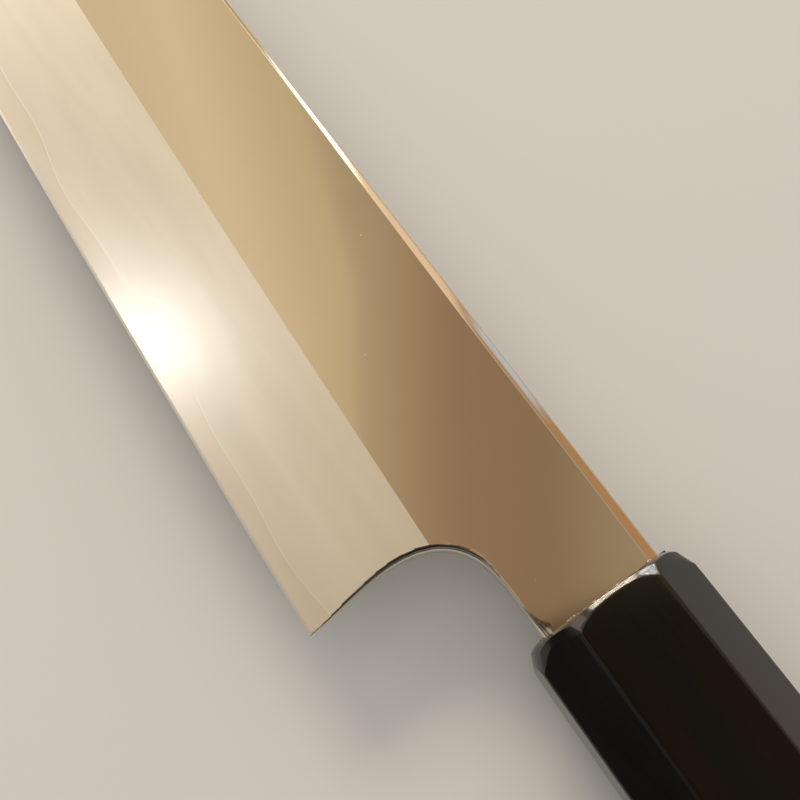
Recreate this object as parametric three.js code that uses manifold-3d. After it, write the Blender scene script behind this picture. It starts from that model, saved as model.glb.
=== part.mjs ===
// Sujihiki: a long slicing knife with a three-layer blade and an octagonal handle.
// Millimetres. The knife lies on its right side: tip towards -X, butt towards +X, spine towards +Y.
// Its pieces are drawn from the ferrule's face (x = 0), the spine line (y = 0) and the blade's
// middle plane (z = 0).

import * as THREE from "three";
import { mergeVertices } from "three/addons/utils/BufferGeometryUtils.js";
import Module from "manifold-3d";

const wasm = await Module();
wasm.setup();

// Blade outline
const EDGE_LENGTH = 270; // heel to tip, along the handle's axis
const HEEL_HEIGHT = 40; // spine to edge at the heel
const NECK_LENGTH = 16.17; // ferrule's face to the heel's corner
const NECK_HEIGHT = 17.3; // spine to the neck's underside
const NECK_UNDERSIDE = 5.87; // straight run of the underside ahead of the ferrule
const NECK_TENON = 6; // full-height stub of the neck inside the ferrule
const CHOIL_RISE = 6.5; // reach of the choil curve's control arm at the heel
const CHOIL_SWEEP = 16.2; // reach of its control arm at the neck's underside
const EDGE_SLOPE = 0.0234; // rise of the edge per millimetre at the heel
const EDGE_CURVATURE = 0.00027; // growth of that slope per millimetre
const BELLY_START = 120; // distance from the heel where the edge sweeps up to the tip
const BELLY_RISE = 12;
const SPINE_FALL_START = 115; // distance from the heel where the spine begins to fall to the tip

// Blade section
const NECK_HALF_THICKNESS = 1.72; // at the spine, beside the ferrule
const TIP_HALF_THICKNESS = 0.42;
const FLAT_LEAN = 0.012; // each flat thins by this much per millimetre below the spine line
const SPINE_ROUND_SHARE = 0.96; // radius of the spine's corners as a share of the half thickness
const BEVEL_SHARE = 0.45; // bevel height as a share of the blade's height, at the heel
const BEVEL_SHARE_GROWTH = 0.00046; // growth of that share per millimetre towards the tip

// Blade layers
const LAYER_GAP = 0.02; // clearance between neighbouring layers
const CORE_SHARE = 0.27; // core's share of the thickness at the spine
const LAMINATION_HEIGHT = 3.1; // mean height of the lamination line above the edge
const LAMINATION_WAVES = [
  { height: 0.6, length: 52, start: 28 },
  { height: 0.3, length: 21, start: 34.75 },
];
const LAMINATION_MOST = 0.4; // the line never climbs past this share of the bevel

// Tang
const TANG_LENGTH = 112; // from the ferrule's face
const TANG_ROOT = { height: 10, thickness: 3 };
const TANG_END = { height: 5, thickness: 2 };

// Handle
const HANDLE_LENGTH = 145;
const HANDLE_WIDTH = 19; // across the two parallel side facets
const HANDLE_FRONT_HEIGHT = 22.2;
const HANDLE_BUTT_HEIGHT = 24.35;
const HANDLE_AXIS_DEPTH = 9.03; // handle's axis below the spine line
const CORNER_LEG = 5.5; // leg of each slanted corner facet
const FERRULE_LENGTH = 34;
const FERRULE_WALL = 8; // solid horn ahead of the dowel's bore
// Radius of an end's disc, and how its rim bows back over a reach beyond that disc
const FRONT_DOME = { flat: 9.3, reach: 3, bow: 0.45 };
const BUTT_DOME = { flat: 10, reach: 3, bow: 0.4 };
const FRONT_CHAMFER = { drop: 0.53, width: 0.33 }; // between the front's flat face and its bowed rim

// Hidden joinery
const FIT_GAP = 0.05; // clearance between flat-sided pieces that touch
const ROUND_FIT_GAP = 0.2; // clearance of the dowel in its bores
const DOWEL_RADIUS = 7;
const DOWEL_END = 60; // from the ferrule's face
const TANG_PASSAGE = { height: 10.8, thickness: 3.7 };
const SEAL_WIDTH = 0.45; // bead between the neck and the ferrule's slot
const SEAL_DEPTH = 2.5;
const SEAL_SETBACK = 0.12; // how far the bead lies behind the ferrule's face
const BEDDING_WALL = 0.9; // cured adhesive round the tang
const BEDDING_FLOOR = 3.5; // adhesive beyond the tang's end

// Fineness of curves
const EDGE_STATIONS = 66;
const NECK_STATIONS = 5;
const TIP_RUN = 2; // last stretch of the blade, which closes to the tip's point
const ROUND_STEPS = 5;
const DOME_STEPS = 6;
const TURNED_SIDES = 64;
const CHOIL_STEPS = 20;
const OVERCUT = 5; // how far a cutter passes beyond what it cuts

const HEEL_X = -NECK_LENGTH;
const TIP_X = HEEL_X - EDGE_LENGTH;

// Distance ahead of the heel, towards the tip. The outline is level behind the heel.
function reach(x) {
  return Math.max(0, HEEL_X - x);
}

// A curve that stays at 0 up to a start and grows to 1 at the tip.
function sweep(s, start, power) {
  return Math.max(0, (s - start) / (EDGE_LENGTH - start)) ** power;
}

function edgeRise(s) {
  return EDGE_SLOPE * s + 0.5 * EDGE_CURVATURE * s ** 2 + BELLY_RISE * sweep(s, BELLY_START, 3);
}

function edgeY(x) {
  return -HEEL_HEIGHT + edgeRise(reach(x));
}

// The spine falls by what the edge has not risen, so both meet at the tip.
function spineY(x) {
  return -(HEEL_HEIGHT - edgeRise(EDGE_LENGTH)) * sweep(reach(x), SPINE_FALL_START, 2);
}

function bevelHeight(x) {
  return (BEVEL_SHARE + BEVEL_SHARE_GROWTH * reach(x)) * (spineY(x) - edgeY(x));
}

// Half thickness of the blade on its side flat, one plane from neck to tip.
function flatHalf(x, y) {
  const distalTaper = (NECK_HALF_THICKNESS - TIP_HALF_THICKNESS) / -TIP_X;
  return NECK_HALF_THICKNESS + distalTaper * x + FLAT_LEAN * y;
}

// Height of the lamination line above the edge.
function laminationHeight(x) {
  let height = LAMINATION_HEIGHT;
  for (const wave of LAMINATION_WAVES) {
    height += wave.height * Math.sin((2 * Math.PI * (reach(x) - wave.start)) / wave.length);
  }
  return Math.min(height, LAMINATION_MOST * bevelHeight(x));
}

// A geometry as a solid that can be joined and cut.
function solidOf(geometry) {
  const bare = geometry.clone();
  bare.deleteAttribute("normal");
  bare.deleteAttribute("uv");
  const merged = mergeVertices(bare, 1e-4);
  return new wasm.Manifold(
    new wasm.Mesh({
      numProp: 3,
      vertProperties: merged.attributes.position.array,
      triVerts: new Uint32Array(merged.index.array),
    }),
  );
}

// A solid as a named mesh with its finish.
function meshOf(name, solid, finish) {
  const { vertProperties, triVerts } = solid.getMesh();
  const geometry = new THREE.BufferGeometry();
  geometry.setAttribute("position", new THREE.BufferAttribute(vertProperties, 3));
  geometry.setIndex(new THREE.BufferAttribute(triVerts, 1));
  const material = new THREE.MeshStandardMaterial({ ...finish, flatShading: true });
  const mesh = new THREE.Mesh(geometry, material);
  mesh.name = name;
  return mesh;
}

// A solid through convex rings { x, points }, with x rising and the [y, z] points turning from +Y to +Z.
function loft(rings) {
  const sides = rings[0].points.length;
  const last = (rings.length - 1) * sides;
  const positions = rings.flatMap(({ x, points }) => points.flatMap(([y, z]) => [x, y, z]));
  const index = [];
  for (let ring = 0; ring < last; ring += sides) {
    for (let j = 0; j < sides; j++) {
      const a = ring + j;
      const b = ring + ((j + 1) % sides);
      index.push(a, b, b + sides, a, b + sides, a + sides);
    }
  }
  for (let j = 1; j < sides - 1; j++) {
    index.push(0, j + 1, j, last, last + j, last + j + 1);
  }
  const geometry = new THREE.BufferGeometry();
  geometry.setAttribute("position", new THREE.Float32BufferAttribute(positions, 3));
  geometry.setIndex(index);
  return solidOf(geometry);
}

// An upright rectangle in a section, on the blade's middle plane.
function rectangle(low, high, halfThickness) {
  return [
    [low, -halfThickness],
    [high, -halfThickness],
    [high, halfThickness],
    [low, halfThickness],
  ];
}

// A solid of revolution about the handle's axis, from [radius, x] points that run from front to back.
function turned(profile) {
  const points = profile.map(([radius, x]) => new THREE.Vector2(radius, x));
  const geometry = new THREE.LatheGeometry(points, TURNED_SIDES);
  geometry.rotateZ(-Math.PI / 2);
  geometry.translate(0, -HANDLE_AXIS_DEPTH, 0);
  return solidOf(geometry);
}

function cylinder(radius, from, to) {
  return turned([
    [0, from],
    [radius, from],
    [radius, to],
    [0, to],
  ]);
}

// Edge, right face, crown of the spine and left face of the blade at one station.
function bladeSection(x) {
  const spine = spineY(x);
  const radius = SPINE_ROUND_SHARE * flatHalf(x, spine);
  const shoulder = spine - radius;
  const inset = flatHalf(x, shoulder) - radius;
  const bevelLine = edgeY(x) + bevelHeight(x);
  const left = [[bevelLine, flatHalf(x, bevelLine)]];
  for (let k = 0; k <= ROUND_STEPS; k++) {
    const angle = (k / ROUND_STEPS) * (Math.PI / 2);
    left.push([shoulder + radius * Math.sin(angle), inset + radius * Math.cos(angle)]);
  }
  const right = left.map(([y, z]) => [y, -z]);
  return [[edgeY(x), 0], ...right, ...left.reverse()];
}

// Evenly spaced values, both ends included.
function spaced(from, to, steps) {
  return Array.from({ length: steps + 1 }, (_, k) => THREE.MathUtils.lerp(from, to, k / steps));
}

// Stations from just short of the tip to the heel, and on to the neck's stub inside the ferrule.
function bladeStations() {
  const edge = spaced(TIP_X + TIP_RUN, HEEL_X, EDGE_STATIONS);
  const neck = spaced(HEEL_X, NECK_TENON, NECK_STATIONS);
  return [...edge, ...neck.slice(1)];
}

function bladeBlank() {
  const rings = bladeStations().map((x) => ({ x, points: bladeSection(x) }));
  const tip = rings[0].points.map(() => [spineY(TIP_X), 0]);
  return loft([{ x: TIP_X, points: tip }, ...rings]);
}

// Everything below the neck and behind the choil's curve.
function choilCutter() {
  const below = -HEEL_HEIGHT - OVERCUT;
  const behind = NECK_TENON + OVERCUT;
  const shape = new THREE.Shape();
  shape.moveTo(HEEL_X, -HEEL_HEIGHT);
  shape.bezierCurveTo(
    HEEL_X,
    -HEEL_HEIGHT + CHOIL_RISE,
    -NECK_UNDERSIDE - CHOIL_SWEEP,
    -NECK_HEIGHT,
    -NECK_UNDERSIDE,
    -NECK_HEIGHT,
  );
  shape.lineTo(behind, -NECK_HEIGHT);
  shape.lineTo(behind, below);
  shape.lineTo(HEEL_X, below);
  const settings = { depth: 2 * OVERCUT, bevelEnabled: false, curveSegments: CHOIL_STEPS };
  return solidOf(new THREE.ExtrudeGeometry(shape, settings).translate(0, 0, -OVERCUT));
}

// Tang's size at a distance from the ferrule's face.
function tangSize(x) {
  const share = x / TANG_LENGTH;
  return {
    height: THREE.MathUtils.lerp(TANG_ROOT.height, TANG_END.height, share),
    thickness: THREE.MathUtils.lerp(TANG_ROOT.thickness, TANG_END.thickness, share),
  };
}

// A tapered bar round the tang's line, wider than the tang by an allowance on every side.
function tangBar(from, to, allowance) {
  const rings = [from, to].map((x) => {
    const { height, thickness } = tangSize(x);
    const half = height / 2 + allowance;
    const middle = -HANDLE_AXIS_DEPTH;
    const points = rectangle(middle - half, middle + half, thickness / 2 + allowance);
    return { x, points };
  });
  return loft(rings);
}

function wholeBlade() {
  const tang = tangBar(NECK_TENON / 2, TANG_LENGTH, 0);
  return bladeBlank().subtract(choilCutter()).add(tang);
}

// Heights of a section where the core's faces bend, with its half thickness there.
// Near the edge the core is as thick as the bevel is at the lamination line.
function coreFace(x) {
  const bevel = bevelHeight(x);
  const bevelSlope = flatHalf(x, edgeY(x) + bevel) / bevel;
  const edgeHalf = bevelSlope * laminationHeight(x);
  const kink = edgeY(x) + 0.5 * (laminationHeight(x) + bevel);
  const spine = spineY(x);
  return [
    [edgeY(x) - OVERCUT, edgeHalf],
    [kink, edgeHalf],
    [spine, CORE_SHARE * flatHalf(x, spine)],
    [spine + OVERCUT, CORE_SHARE * flatHalf(x, spine)],
  ];
}

// Stations of the layers, which run past the tip and to the tang's end.
function layerStations() {
  return [TIP_X - OVERCUT, ...bladeStations(), TANG_LENGTH + OVERCUT];
}

// The slice of space between the core's two faces.
function coreSlice() {
  const rings = layerStations().map((x) => {
    const station = THREE.MathUtils.clamp(x, TIP_X + TIP_RUN, NECK_TENON);
    const left = coreFace(station);
    const right = left.map(([y, half]) => [y, -half]);
    return { x, points: [...right, ...left.reverse()] };
  });
  return loft(rings);
}

// The slice of space outside the core on one side, +1 for the left and -1 for the right.
function claddingSlice(side) {
  const rings = layerStations().map((x) => {
    const station = THREE.MathUtils.clamp(x, TIP_X + TIP_RUN, NECK_TENON);
    const inner = coreFace(station).map(([y, half]) => [y, side * (half + LAYER_GAP)]);
    const outer = inner.map(([y]) => [y, side * OVERCUT]);
    const points = [...inner, ...outer.reverse()];
    return { x, points: side > 0 ? points : points.reverse() };
  });
  return loft(rings);
}

// Octagon of the handle at a distance from the ferrule's face, with parallel sides and a deepening back.
function handleSection(x) {
  const share = x / HANDLE_LENGTH;
  const y = THREE.MathUtils.lerp(HANDLE_FRONT_HEIGHT, HANDLE_BUTT_HEIGHT, share) / 2;
  const z = HANDLE_WIDTH / 2;
  const corners = [
    [y, -z + CORNER_LEG],
    [y, z - CORNER_LEG],
    [y - CORNER_LEG, z],
    [-y + CORNER_LEG, z],
    [-y, z - CORNER_LEG],
    [-y, -z + CORNER_LEG],
    [-y + CORNER_LEG, -z],
    [y - CORNER_LEG, -z],
  ];
  return corners.map(([up, across]) => [up - HANDLE_AXIS_DEPTH, across]);
}

function handleStretch(from, to) {
  return loft([from, to].map((x) => ({ x, points: handleSection(x) })));
}

// Points of a bowed rim, from the edge of the flat end face outwards and away from it.
function rimPoints({ flat, reach, bow }) {
  return spaced(0, reach, DOME_STEPS).map((out) => [flat + out, bow * out ** 2]);
}

function frontDome() {
  const rim = rimPoints(FRONT_DOME).map(([radius, depth]) => [radius, depth + FRONT_CHAMFER.drop]);
  const face = FRONT_DOME.flat - FRONT_CHAMFER.width;
  const widest = FRONT_DOME.flat + FRONT_DOME.reach;
  return turned([[0, 0], [face, 0], ...rim, [widest, HANDLE_LENGTH], [0, HANDLE_LENGTH]]);
}

function buttDome() {
  const rim = rimPoints(BUTT_DOME).map(([radius, depth]) => [radius, HANDLE_LENGTH - depth]);
  const widest = BUTT_DOME.flat + BUTT_DOME.reach + OVERCUT;
  return turned([
    [0, 0],
    [widest, 0],
    [widest, rim[rim.length - 1][1]],
    ...rim.reverse(),
    [0, HANDLE_LENGTH],
  ]);
}

// A bar of the neck's own section, wider than the neck by an allowance on every side.
function neckBar(from, to, allowance) {
  const half = flatHalf(NECK_TENON, 0) + allowance;
  const points = rectangle(-NECK_HEIGHT - allowance, allowance, half);
  return loft([from, to].map((x) => ({ x, points })));
}

// The tang's straight passage through the ferrule's wall and the dowel.
function tangPassage() {
  const middle = -HANDLE_AXIS_DEPTH;
  const half = TANG_PASSAGE.height / 2;
  const points = rectangle(middle - half, middle + half, TANG_PASSAGE.thickness / 2);
  return loft([0, DOWEL_END + OVERCUT].map((x) => ({ x, points })));
}

function hornFerrule() {
  const slot = neckBar(-OVERCUT, NECK_TENON + ROUND_FIT_GAP, SEAL_WIDTH + 2 * FIT_GAP);
  const bore = cylinder(DOWEL_RADIUS + ROUND_FIT_GAP, FERRULE_WALL, FERRULE_LENGTH + OVERCUT);
  const stretch = handleStretch(-OVERCUT, FERRULE_LENGTH);
  return stretch.intersect(frontDome()).subtract(slot).subtract(tangPassage()).subtract(bore);
}

function neckSeal() {
  const outside = neckBar(SEAL_SETBACK, SEAL_DEPTH, SEAL_WIDTH + FIT_GAP);
  const inside = neckBar(-OVERCUT, SEAL_DEPTH + OVERCUT, FIT_GAP);
  return outside.subtract(inside);
}

function ferruleDowel() {
  return cylinder(DOWEL_RADIUS, FERRULE_WALL + ROUND_FIT_GAP, DOWEL_END).subtract(tangPassage());
}

function tangBedding() {
  const front = DOWEL_END + 2 * ROUND_FIT_GAP;
  const outside = tangBar(front, TANG_LENGTH + BEDDING_FLOOR, BEDDING_WALL);
  const inside = tangBar(front - OVERCUT, TANG_LENGTH + FIT_GAP, FIT_GAP);
  return outside.subtract(inside);
}

function handleBody() {
  const bore = cylinder(DOWEL_RADIUS + ROUND_FIT_GAP, FERRULE_LENGTH - OVERCUT, DOWEL_END + ROUND_FIT_GAP);
  const floor = TANG_LENGTH + BEDDING_FLOOR + FIT_GAP;
  const mortise = tangBar(DOWEL_END - OVERCUT, floor, BEDDING_WALL + FIT_GAP);
  const stretch = handleStretch(FERRULE_LENGTH + FIT_GAP, HANDLE_LENGTH + OVERCUT);
  return stretch.intersect(buttDome()).subtract(bore).subtract(mortise);
}

const FINISHES = {
  core: { color: 0xbcb4a8, roughness: 0.38, metalness: 1 },
  cladding: { color: 0xd6cfc2, roughness: 0.2, metalness: 1 },
  horn: { color: 0x1c1813, roughness: 0.16, metalness: 0 },
  ebony: { color: 0x241a14, roughness: 0.35, metalness: 0 },
  dowelWood: { color: 0xc9a877, roughness: 0.75, metalness: 0 },
  adhesive: { color: 0xd2bf92, roughness: 0.45, metalness: 0 },
  seal: { color: 0xcdbd9c, roughness: 0.5, metalness: 0 },
};

const blade = new THREE.Group();
const steel = wholeBlade();
blade.add(meshOf("core_steel", steel.intersect(coreSlice()), FINISHES.core));
blade.add(meshOf("left_cladding", steel.intersect(claddingSlice(1)), FINISHES.cladding));
blade.add(meshOf("right_cladding", steel.intersect(claddingSlice(-1)), FINISHES.cladding));

const handle = new THREE.Group();
handle.add(meshOf("horn_ferrule", hornFerrule(), FINISHES.horn));
handle.add(meshOf("handle_body", handleBody(), FINISHES.ebony));
handle.add(meshOf("ferrule_dowel", ferruleDowel(), FINISHES.dowelWood));
handle.add(meshOf("tang_bedding", tangBedding(), FINISHES.adhesive));
handle.add(meshOf("neck_seal", neckSeal(), FINISHES.seal));

// The knife's box is centred over the origin and stands on the handle's right side facet.
const knife = new THREE.Group();
knife.add(blade, handle);
const box = new THREE.Box3().setFromObject(knife, true);
const middle = box.getCenter(new THREE.Vector3());
knife.position.set(-middle.x, -middle.y, -box.min.z);

const sujihiki = new THREE.Group();
sujihiki.add(knife);

export default sujihiki;
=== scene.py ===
"""A sujihiki, the long Japanese slicing knife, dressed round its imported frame.

The knife lies on its right side: tip towards -X, butt towards +X, spine towards +Y.
Shapes are drawn in millimetres from the knife's own datum (ferrule's face, spine line and the
blade's middle plane) and placed in metres in the row frame.
"""

import logging
import math
from collections.abc import Sequence
from dataclasses import dataclass, field
from enum import Enum

import bpy
import numpy as np
from mathutils import Matrix, Vector


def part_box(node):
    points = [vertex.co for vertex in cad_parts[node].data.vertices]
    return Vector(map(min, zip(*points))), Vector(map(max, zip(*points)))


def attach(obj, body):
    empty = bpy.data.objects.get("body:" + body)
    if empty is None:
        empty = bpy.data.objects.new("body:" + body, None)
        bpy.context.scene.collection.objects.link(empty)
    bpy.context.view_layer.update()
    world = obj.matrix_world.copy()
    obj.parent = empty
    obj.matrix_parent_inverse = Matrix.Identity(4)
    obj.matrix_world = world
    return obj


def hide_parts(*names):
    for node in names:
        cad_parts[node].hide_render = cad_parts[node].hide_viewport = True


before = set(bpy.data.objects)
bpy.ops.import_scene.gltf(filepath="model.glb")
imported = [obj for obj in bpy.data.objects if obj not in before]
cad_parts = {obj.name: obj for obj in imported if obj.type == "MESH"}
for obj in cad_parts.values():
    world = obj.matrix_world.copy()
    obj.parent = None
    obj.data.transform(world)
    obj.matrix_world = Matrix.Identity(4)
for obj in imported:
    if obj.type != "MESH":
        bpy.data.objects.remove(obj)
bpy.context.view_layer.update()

MM = 0.001
BODY = "root"
LAMINATION_ATTRIBUTE = "above_lamination"
# Rounds in which a place and the height that depends on it settle together.
SETTLING_ROUNDS = 8
log = logging.getLogger("sujihiki")

Feeds = dict[str, bpy.types.NodeSocket]


def linear(hex_colour: str) -> tuple[float, float, float, float]:
    """Turn an sRGB hex colour into linear light.

    Args:
        hex_colour: six hex digits after a hash.

    Returns:
        Red, green, blue and a full alpha.
    """
    channels = [int(hex_colour[i : i + 2], 16) / 255 for i in (1, 3, 5)]
    light = [c / 12.92 if c <= 0.04045 else ((c + 0.055) / 1.055) ** 2.4 for c in channels]
    return (light[0], light[1], light[2], 1.0)


def per_metre(size_mm: float) -> float:
    """Turn a pattern's real size in millimetres into a texture scale."""
    return 1 / (size_mm * MM)


def add_node(
    tree: bpy.types.NodeTree,
    kind: str,
    inputs: dict[str | int, object] | None = None,
    stops: Sequence[tuple[float, tuple[float, float, float, float]]] = (),
    **settings: object,
) -> bpy.types.Node:
    """Add a node with its settings, sockets and links.

    Args:
        tree: the tree that gets the node.
        kind: Blender's name for the kind of node.
        inputs: a value, or an output socket to link, for each named or numbered input socket.
        stops: places and colours along a colour ramp.
        settings: properties of the node.

    Returns:
        The new node.
    """
    node = tree.nodes.new(kind)
    for name, value in settings.items():
        setattr(node, name, value)
    for socket, value in (inputs or {}).items():
        if isinstance(value, bpy.types.NodeSocket):
            tree.links.new(value, node.inputs[socket])
        else:
            node.inputs[socket].default_value = value
    for i, (place, colour) in enumerate(stops):
        ramp = node.color_ramp.elements
        stop = ramp[i] if i < 2 else ramp.new(place)
        stop.position = place
        stop.color = colour
    return node


@dataclass(frozen=True)
class Datum:
    """Where the knife's own axes lie in the row frame, in metres."""

    face_x: float
    spine_y: float
    middle_z: float

    @classmethod
    def from_frame(cls) -> "Datum":
        """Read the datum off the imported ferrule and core.

        Returns:
            The datum.
        """
        ferrule_low, ferrule_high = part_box("horn_ferrule")
        _, core_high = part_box("core_steel")
        return cls(ferrule_low.x, core_high.y, (ferrule_low.z + ferrule_high.z) / 2)

    def place(self, points: np.ndarray) -> np.ndarray:
        """Turn points in knife millimetres into row metres."""
        return np.asarray(points, float) * MM + np.array([self.face_x, self.spine_y, self.middle_z])


@dataclass(frozen=True)
class Finish:
    """A real material with the way its surface was made."""

    name: str
    colour: str
    roughness: float
    metallic: float = 0.0
    ior: float = 1.5

    def material(self) -> bpy.types.Material:
        """Make the node material.

        Returns:
            The material, with its shader dressed by the finish's own pattern.
        """
        made = bpy.data.materials.new(self.name)
        made.use_nodes = True
        tree = made.node_tree
        shader = next(n for n in tree.nodes if n.type == "BSDF_PRINCIPLED")
        shader.inputs["Base Color"].default_value = linear(self.colour)
        shader.inputs["Roughness"].default_value = self.roughness
        shader.inputs["Metallic"].default_value = self.metallic
        shader.inputs["IOR"].default_value = self.ior
        place = add_node(tree, "ShaderNodeTexCoord").outputs["Object"]
        for socket, output in self.dress(tree, place).items():
            tree.links.new(output, shader.inputs[socket])
        return made

    def dress(self, tree: bpy.types.NodeTree, place: bpy.types.NodeSocket) -> Feeds:
        """Add the finish's pattern.

        Args:
            tree: the material's node tree.
            place: coordinates in row metres.

        Returns:
            The output that feeds each of the shader's inputs.
        """
        raise NotImplementedError


@dataclass(frozen=True)
class MirrorSteel(Finish):
    """Stainless steel buffed to a mirror: clear reflections, a trace of polishing wave, pin-prick specks."""

    wave_mm: float = 16.0
    wave_depth_mm: float = 0.004
    cloud_mm: float = 7.0
    speck_spacing_mm: float = 5.0
    speck_share: float = 0.03

    def dress(self, tree: bpy.types.NodeTree, place: bpy.types.NodeSocket) -> Feeds:
        """Add polishing wave, cloudy gloss and specks.

        Args:
            tree: the material's node tree.
            place: coordinates in row metres.

        Returns:
            The output that feeds each of the shader's inputs.
        """
        wave = add_node(
            tree,
            "ShaderNodeTexNoise",
            {"Vector": place, "Scale": per_metre(self.wave_mm), "Detail": 1.0},
        )
        cloud = add_node(
            tree,
            "ShaderNodeTexNoise",
            {"Vector": place, "Scale": per_metre(self.cloud_mm), "Detail": 4.0, "Roughness": 0.6},
        )
        cells = add_node(
            tree,
            "ShaderNodeTexVoronoi",
            {"Vector": place, "Scale": per_metre(self.speck_spacing_mm), "Randomness": 1.0},
        )
        speck = add_node(
            tree,
            "ShaderNodeMapRange",
            {"Value": cells.outputs["Distance"], 1: self.speck_share, 2: 0.5 * self.speck_share},
        )
        gloss = add_node(
            tree,
            "ShaderNodeMapRange",
            {
                "Value": cloud.outputs["Fac"],
                1: 0.3,
                2: 0.7,
                3: 0.8 * self.roughness,
                4: 1.3 * self.roughness,
            },
        )
        rough = add_node(
            tree,
            "ShaderNodeMath",
            {0: speck.outputs["Result"], 1: 0.35, 2: gloss.outputs["Result"]},
            operation="MULTIPLY_ADD",
        )
        bump = add_node(
            tree,
            "ShaderNodeBump",
            {"Height": wave.outputs["Fac"], "Distance": self.wave_depth_mm * MM, "Strength": 1.0},
        )
        return {
            "Roughness": rough.outputs[0],
            "Normal": bump.outputs["Normal"],
        }


@dataclass(frozen=True)
class HazedSteel(Finish):
    """Stainless steel rubbed with a fine natural stone: a soft, even haze with a fine sparkle."""

    # The stone's grit is near 0.01 mm. It is drawn coarser, so that it shows.
    grain_mm: float = 0.26
    grain_depth_mm: float = 0.0024
    cloud_mm: tuple[float, float] = (40.0, 5.0)
    reflection_and_cloud_swing: float = 0.045
    # The layers wear by a different hair's breadth, a small step along their seam. The fine, paler line along
    # the seam is a painted highlight, lightened into the steel's colour.
    step_mm: float = 0.006
    step_width_mm: float = 0.07
    seam_painted_highlight: float = 0.2

    def dress(self, tree: bpy.types.NodeTree, place: bpy.types.NodeSocket) -> Feeds:
        """Add the stone's grain, soft streaks of painted reflection over random cloudiness, the step at the
        lamination line and a painted highlight along it.

        Args:
            tree: the material's node tree.
            place: coordinates in row metres.

        Returns:
            The output that feeds each of the shader's inputs.
        """
        grain = add_node(
            tree,
            "ShaderNodeTexNoise",
            {"Vector": place, "Scale": per_metre(self.grain_mm), "Detail": 2.0, "Roughness": 0.7},
        )
        stretched = add_node(
            tree,
            "ShaderNodeMapping",
            {"Vector": place, "Scale": (per_metre(self.cloud_mm[0]), per_metre(self.cloud_mm[1]), 0.0)},
        )
        cloud = add_node(
            tree,
            "ShaderNodeTexNoise",
            {"Vector": stretched.outputs[0], "Scale": 1.0, "Detail": 3.0, "Roughness": 0.55},
        )
        # Painted reflection: streaks drawn out along the blade lighten and darken the steel's colour,
        # standing in for the room mirrored in the haze, over random cloudiness.
        base = linear(self.colour)
        darker, lighter = (
            (*(min(1.0, c * (1 + change)) for c in base[:3]), 1.0) for change in (-self.reflection_and_cloud_swing, self.reflection_and_cloud_swing)
        )
        tint = add_node(
            tree,
            "ShaderNodeValToRGB",
            {"Fac": cloud.outputs["Fac"]},
            stops=((0.3, darker), (0.7, lighter)),
        )
        gloss = add_node(
            tree,
            "ShaderNodeMapRange",
            {
                "Value": cloud.outputs["Fac"],
                1: 0.3,
                2: 0.7,
                3: 0.95 * self.roughness,
                4: 1.05 * self.roughness,
            },
        )
        above = add_node(tree, "ShaderNodeAttribute", attribute_name=LAMINATION_ATTRIBUTE)
        away = add_node(tree, "ShaderNodeMath", {0: above.outputs["Fac"]}, operation="ABSOLUTE")
        # Painted highlight: the steel's colour is lightened in a fine line along the lamination seam.
        seam_highlight_gain = add_node(
            tree,
            "ShaderNodeMapRange",
            {"Value": away.outputs[0], 2: self.step_width_mm, 3: 1 + self.seam_painted_highlight, 4: 1.0},
        )
        lit = add_node(
            tree,
            "ShaderNodeVectorMath",
            {0: tint.outputs["Color"], "Scale": seam_highlight_gain.outputs["Result"]},
            operation="SCALE",
        )
        step = add_node(
            tree,
            "ShaderNodeMapRange",
            {
                "Value": above.outputs["Fac"],
                1: -self.step_width_mm,
                2: self.step_width_mm,
                3: 0.0,
                4: self.step_mm,
            },
            interpolation_type="SMOOTHSTEP",
        )
        height = add_node(
            tree,
            "ShaderNodeMath",
            {0: grain.outputs["Fac"], 1: self.grain_depth_mm, 2: step.outputs["Result"]},
            operation="MULTIPLY_ADD",
        )
        bump = add_node(
            tree,
            "ShaderNodeBump",
            {"Height": height.outputs[0], "Distance": MM, "Strength": 1.0},
        )
        return {
            "Base Color": lit.outputs["Vector"],
            "Roughness": gloss.outputs["Result"],
            "Normal": bump.outputs["Normal"],
        }


@dataclass(frozen=True)
class Horn(Finish):
    """Black buffalo horn, buffed: near-black with brown clouds drawn out along the horn."""

    cloud_colour: str = "#2a150d"
    cloud_mm: tuple[float, float] = (26.0, 7.0)
    fibre_mm: tuple[float, float] = (9.0, 0.35)
    fibre_depth_mm: float = 0.0015

    def dress(self, tree: bpy.types.NodeTree, place: bpy.types.NodeSocket) -> Feeds:
        """Add brown clouds and the fine fibres of the horn.

        Args:
            tree: the material's node tree.
            place: coordinates in row metres.

        Returns:
            The output that feeds each of the shader's inputs.
        """
        drawn = [
            add_node(
                tree,
                "ShaderNodeMapping",
                {"Vector": place, "Scale": (per_metre(along), per_metre(across), per_metre(across))},
            )
            for along, across in (self.cloud_mm, self.fibre_mm)
        ]
        cloud = add_node(
            tree,
            "ShaderNodeTexNoise",
            {"Vector": drawn[0].outputs[0], "Scale": 1.0, "Detail": 3.0, "Roughness": 0.5},
        )
        fibre = add_node(
            tree,
            "ShaderNodeTexNoise",
            {"Vector": drawn[1].outputs[0], "Scale": 1.0, "Detail": 4.0, "Roughness": 0.6},
        )
        tint = add_node(
            tree,
            "ShaderNodeValToRGB",
            {"Fac": cloud.outputs["Fac"]},
            stops=((0.45, linear(self.colour)), (0.72, linear(self.cloud_colour))),
        )
        gloss = add_node(
            tree,
            "ShaderNodeMapRange",
            {
                "Value": fibre.outputs["Fac"],
                1: 0.3,
                2: 0.7,
                3: 0.8 * self.roughness,
                4: 1.25 * self.roughness,
            },
        )
        bump = add_node(
            tree,
            "ShaderNodeBump",
            {"Height": fibre.outputs["Fac"], "Distance": self.fibre_depth_mm * MM, "Strength": 1.0},
        )
        return {
            "Base Color": tint.outputs["Color"],
            "Roughness": gloss.outputs["Result"],
            "Normal": bump.outputs["Normal"],
        }


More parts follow.
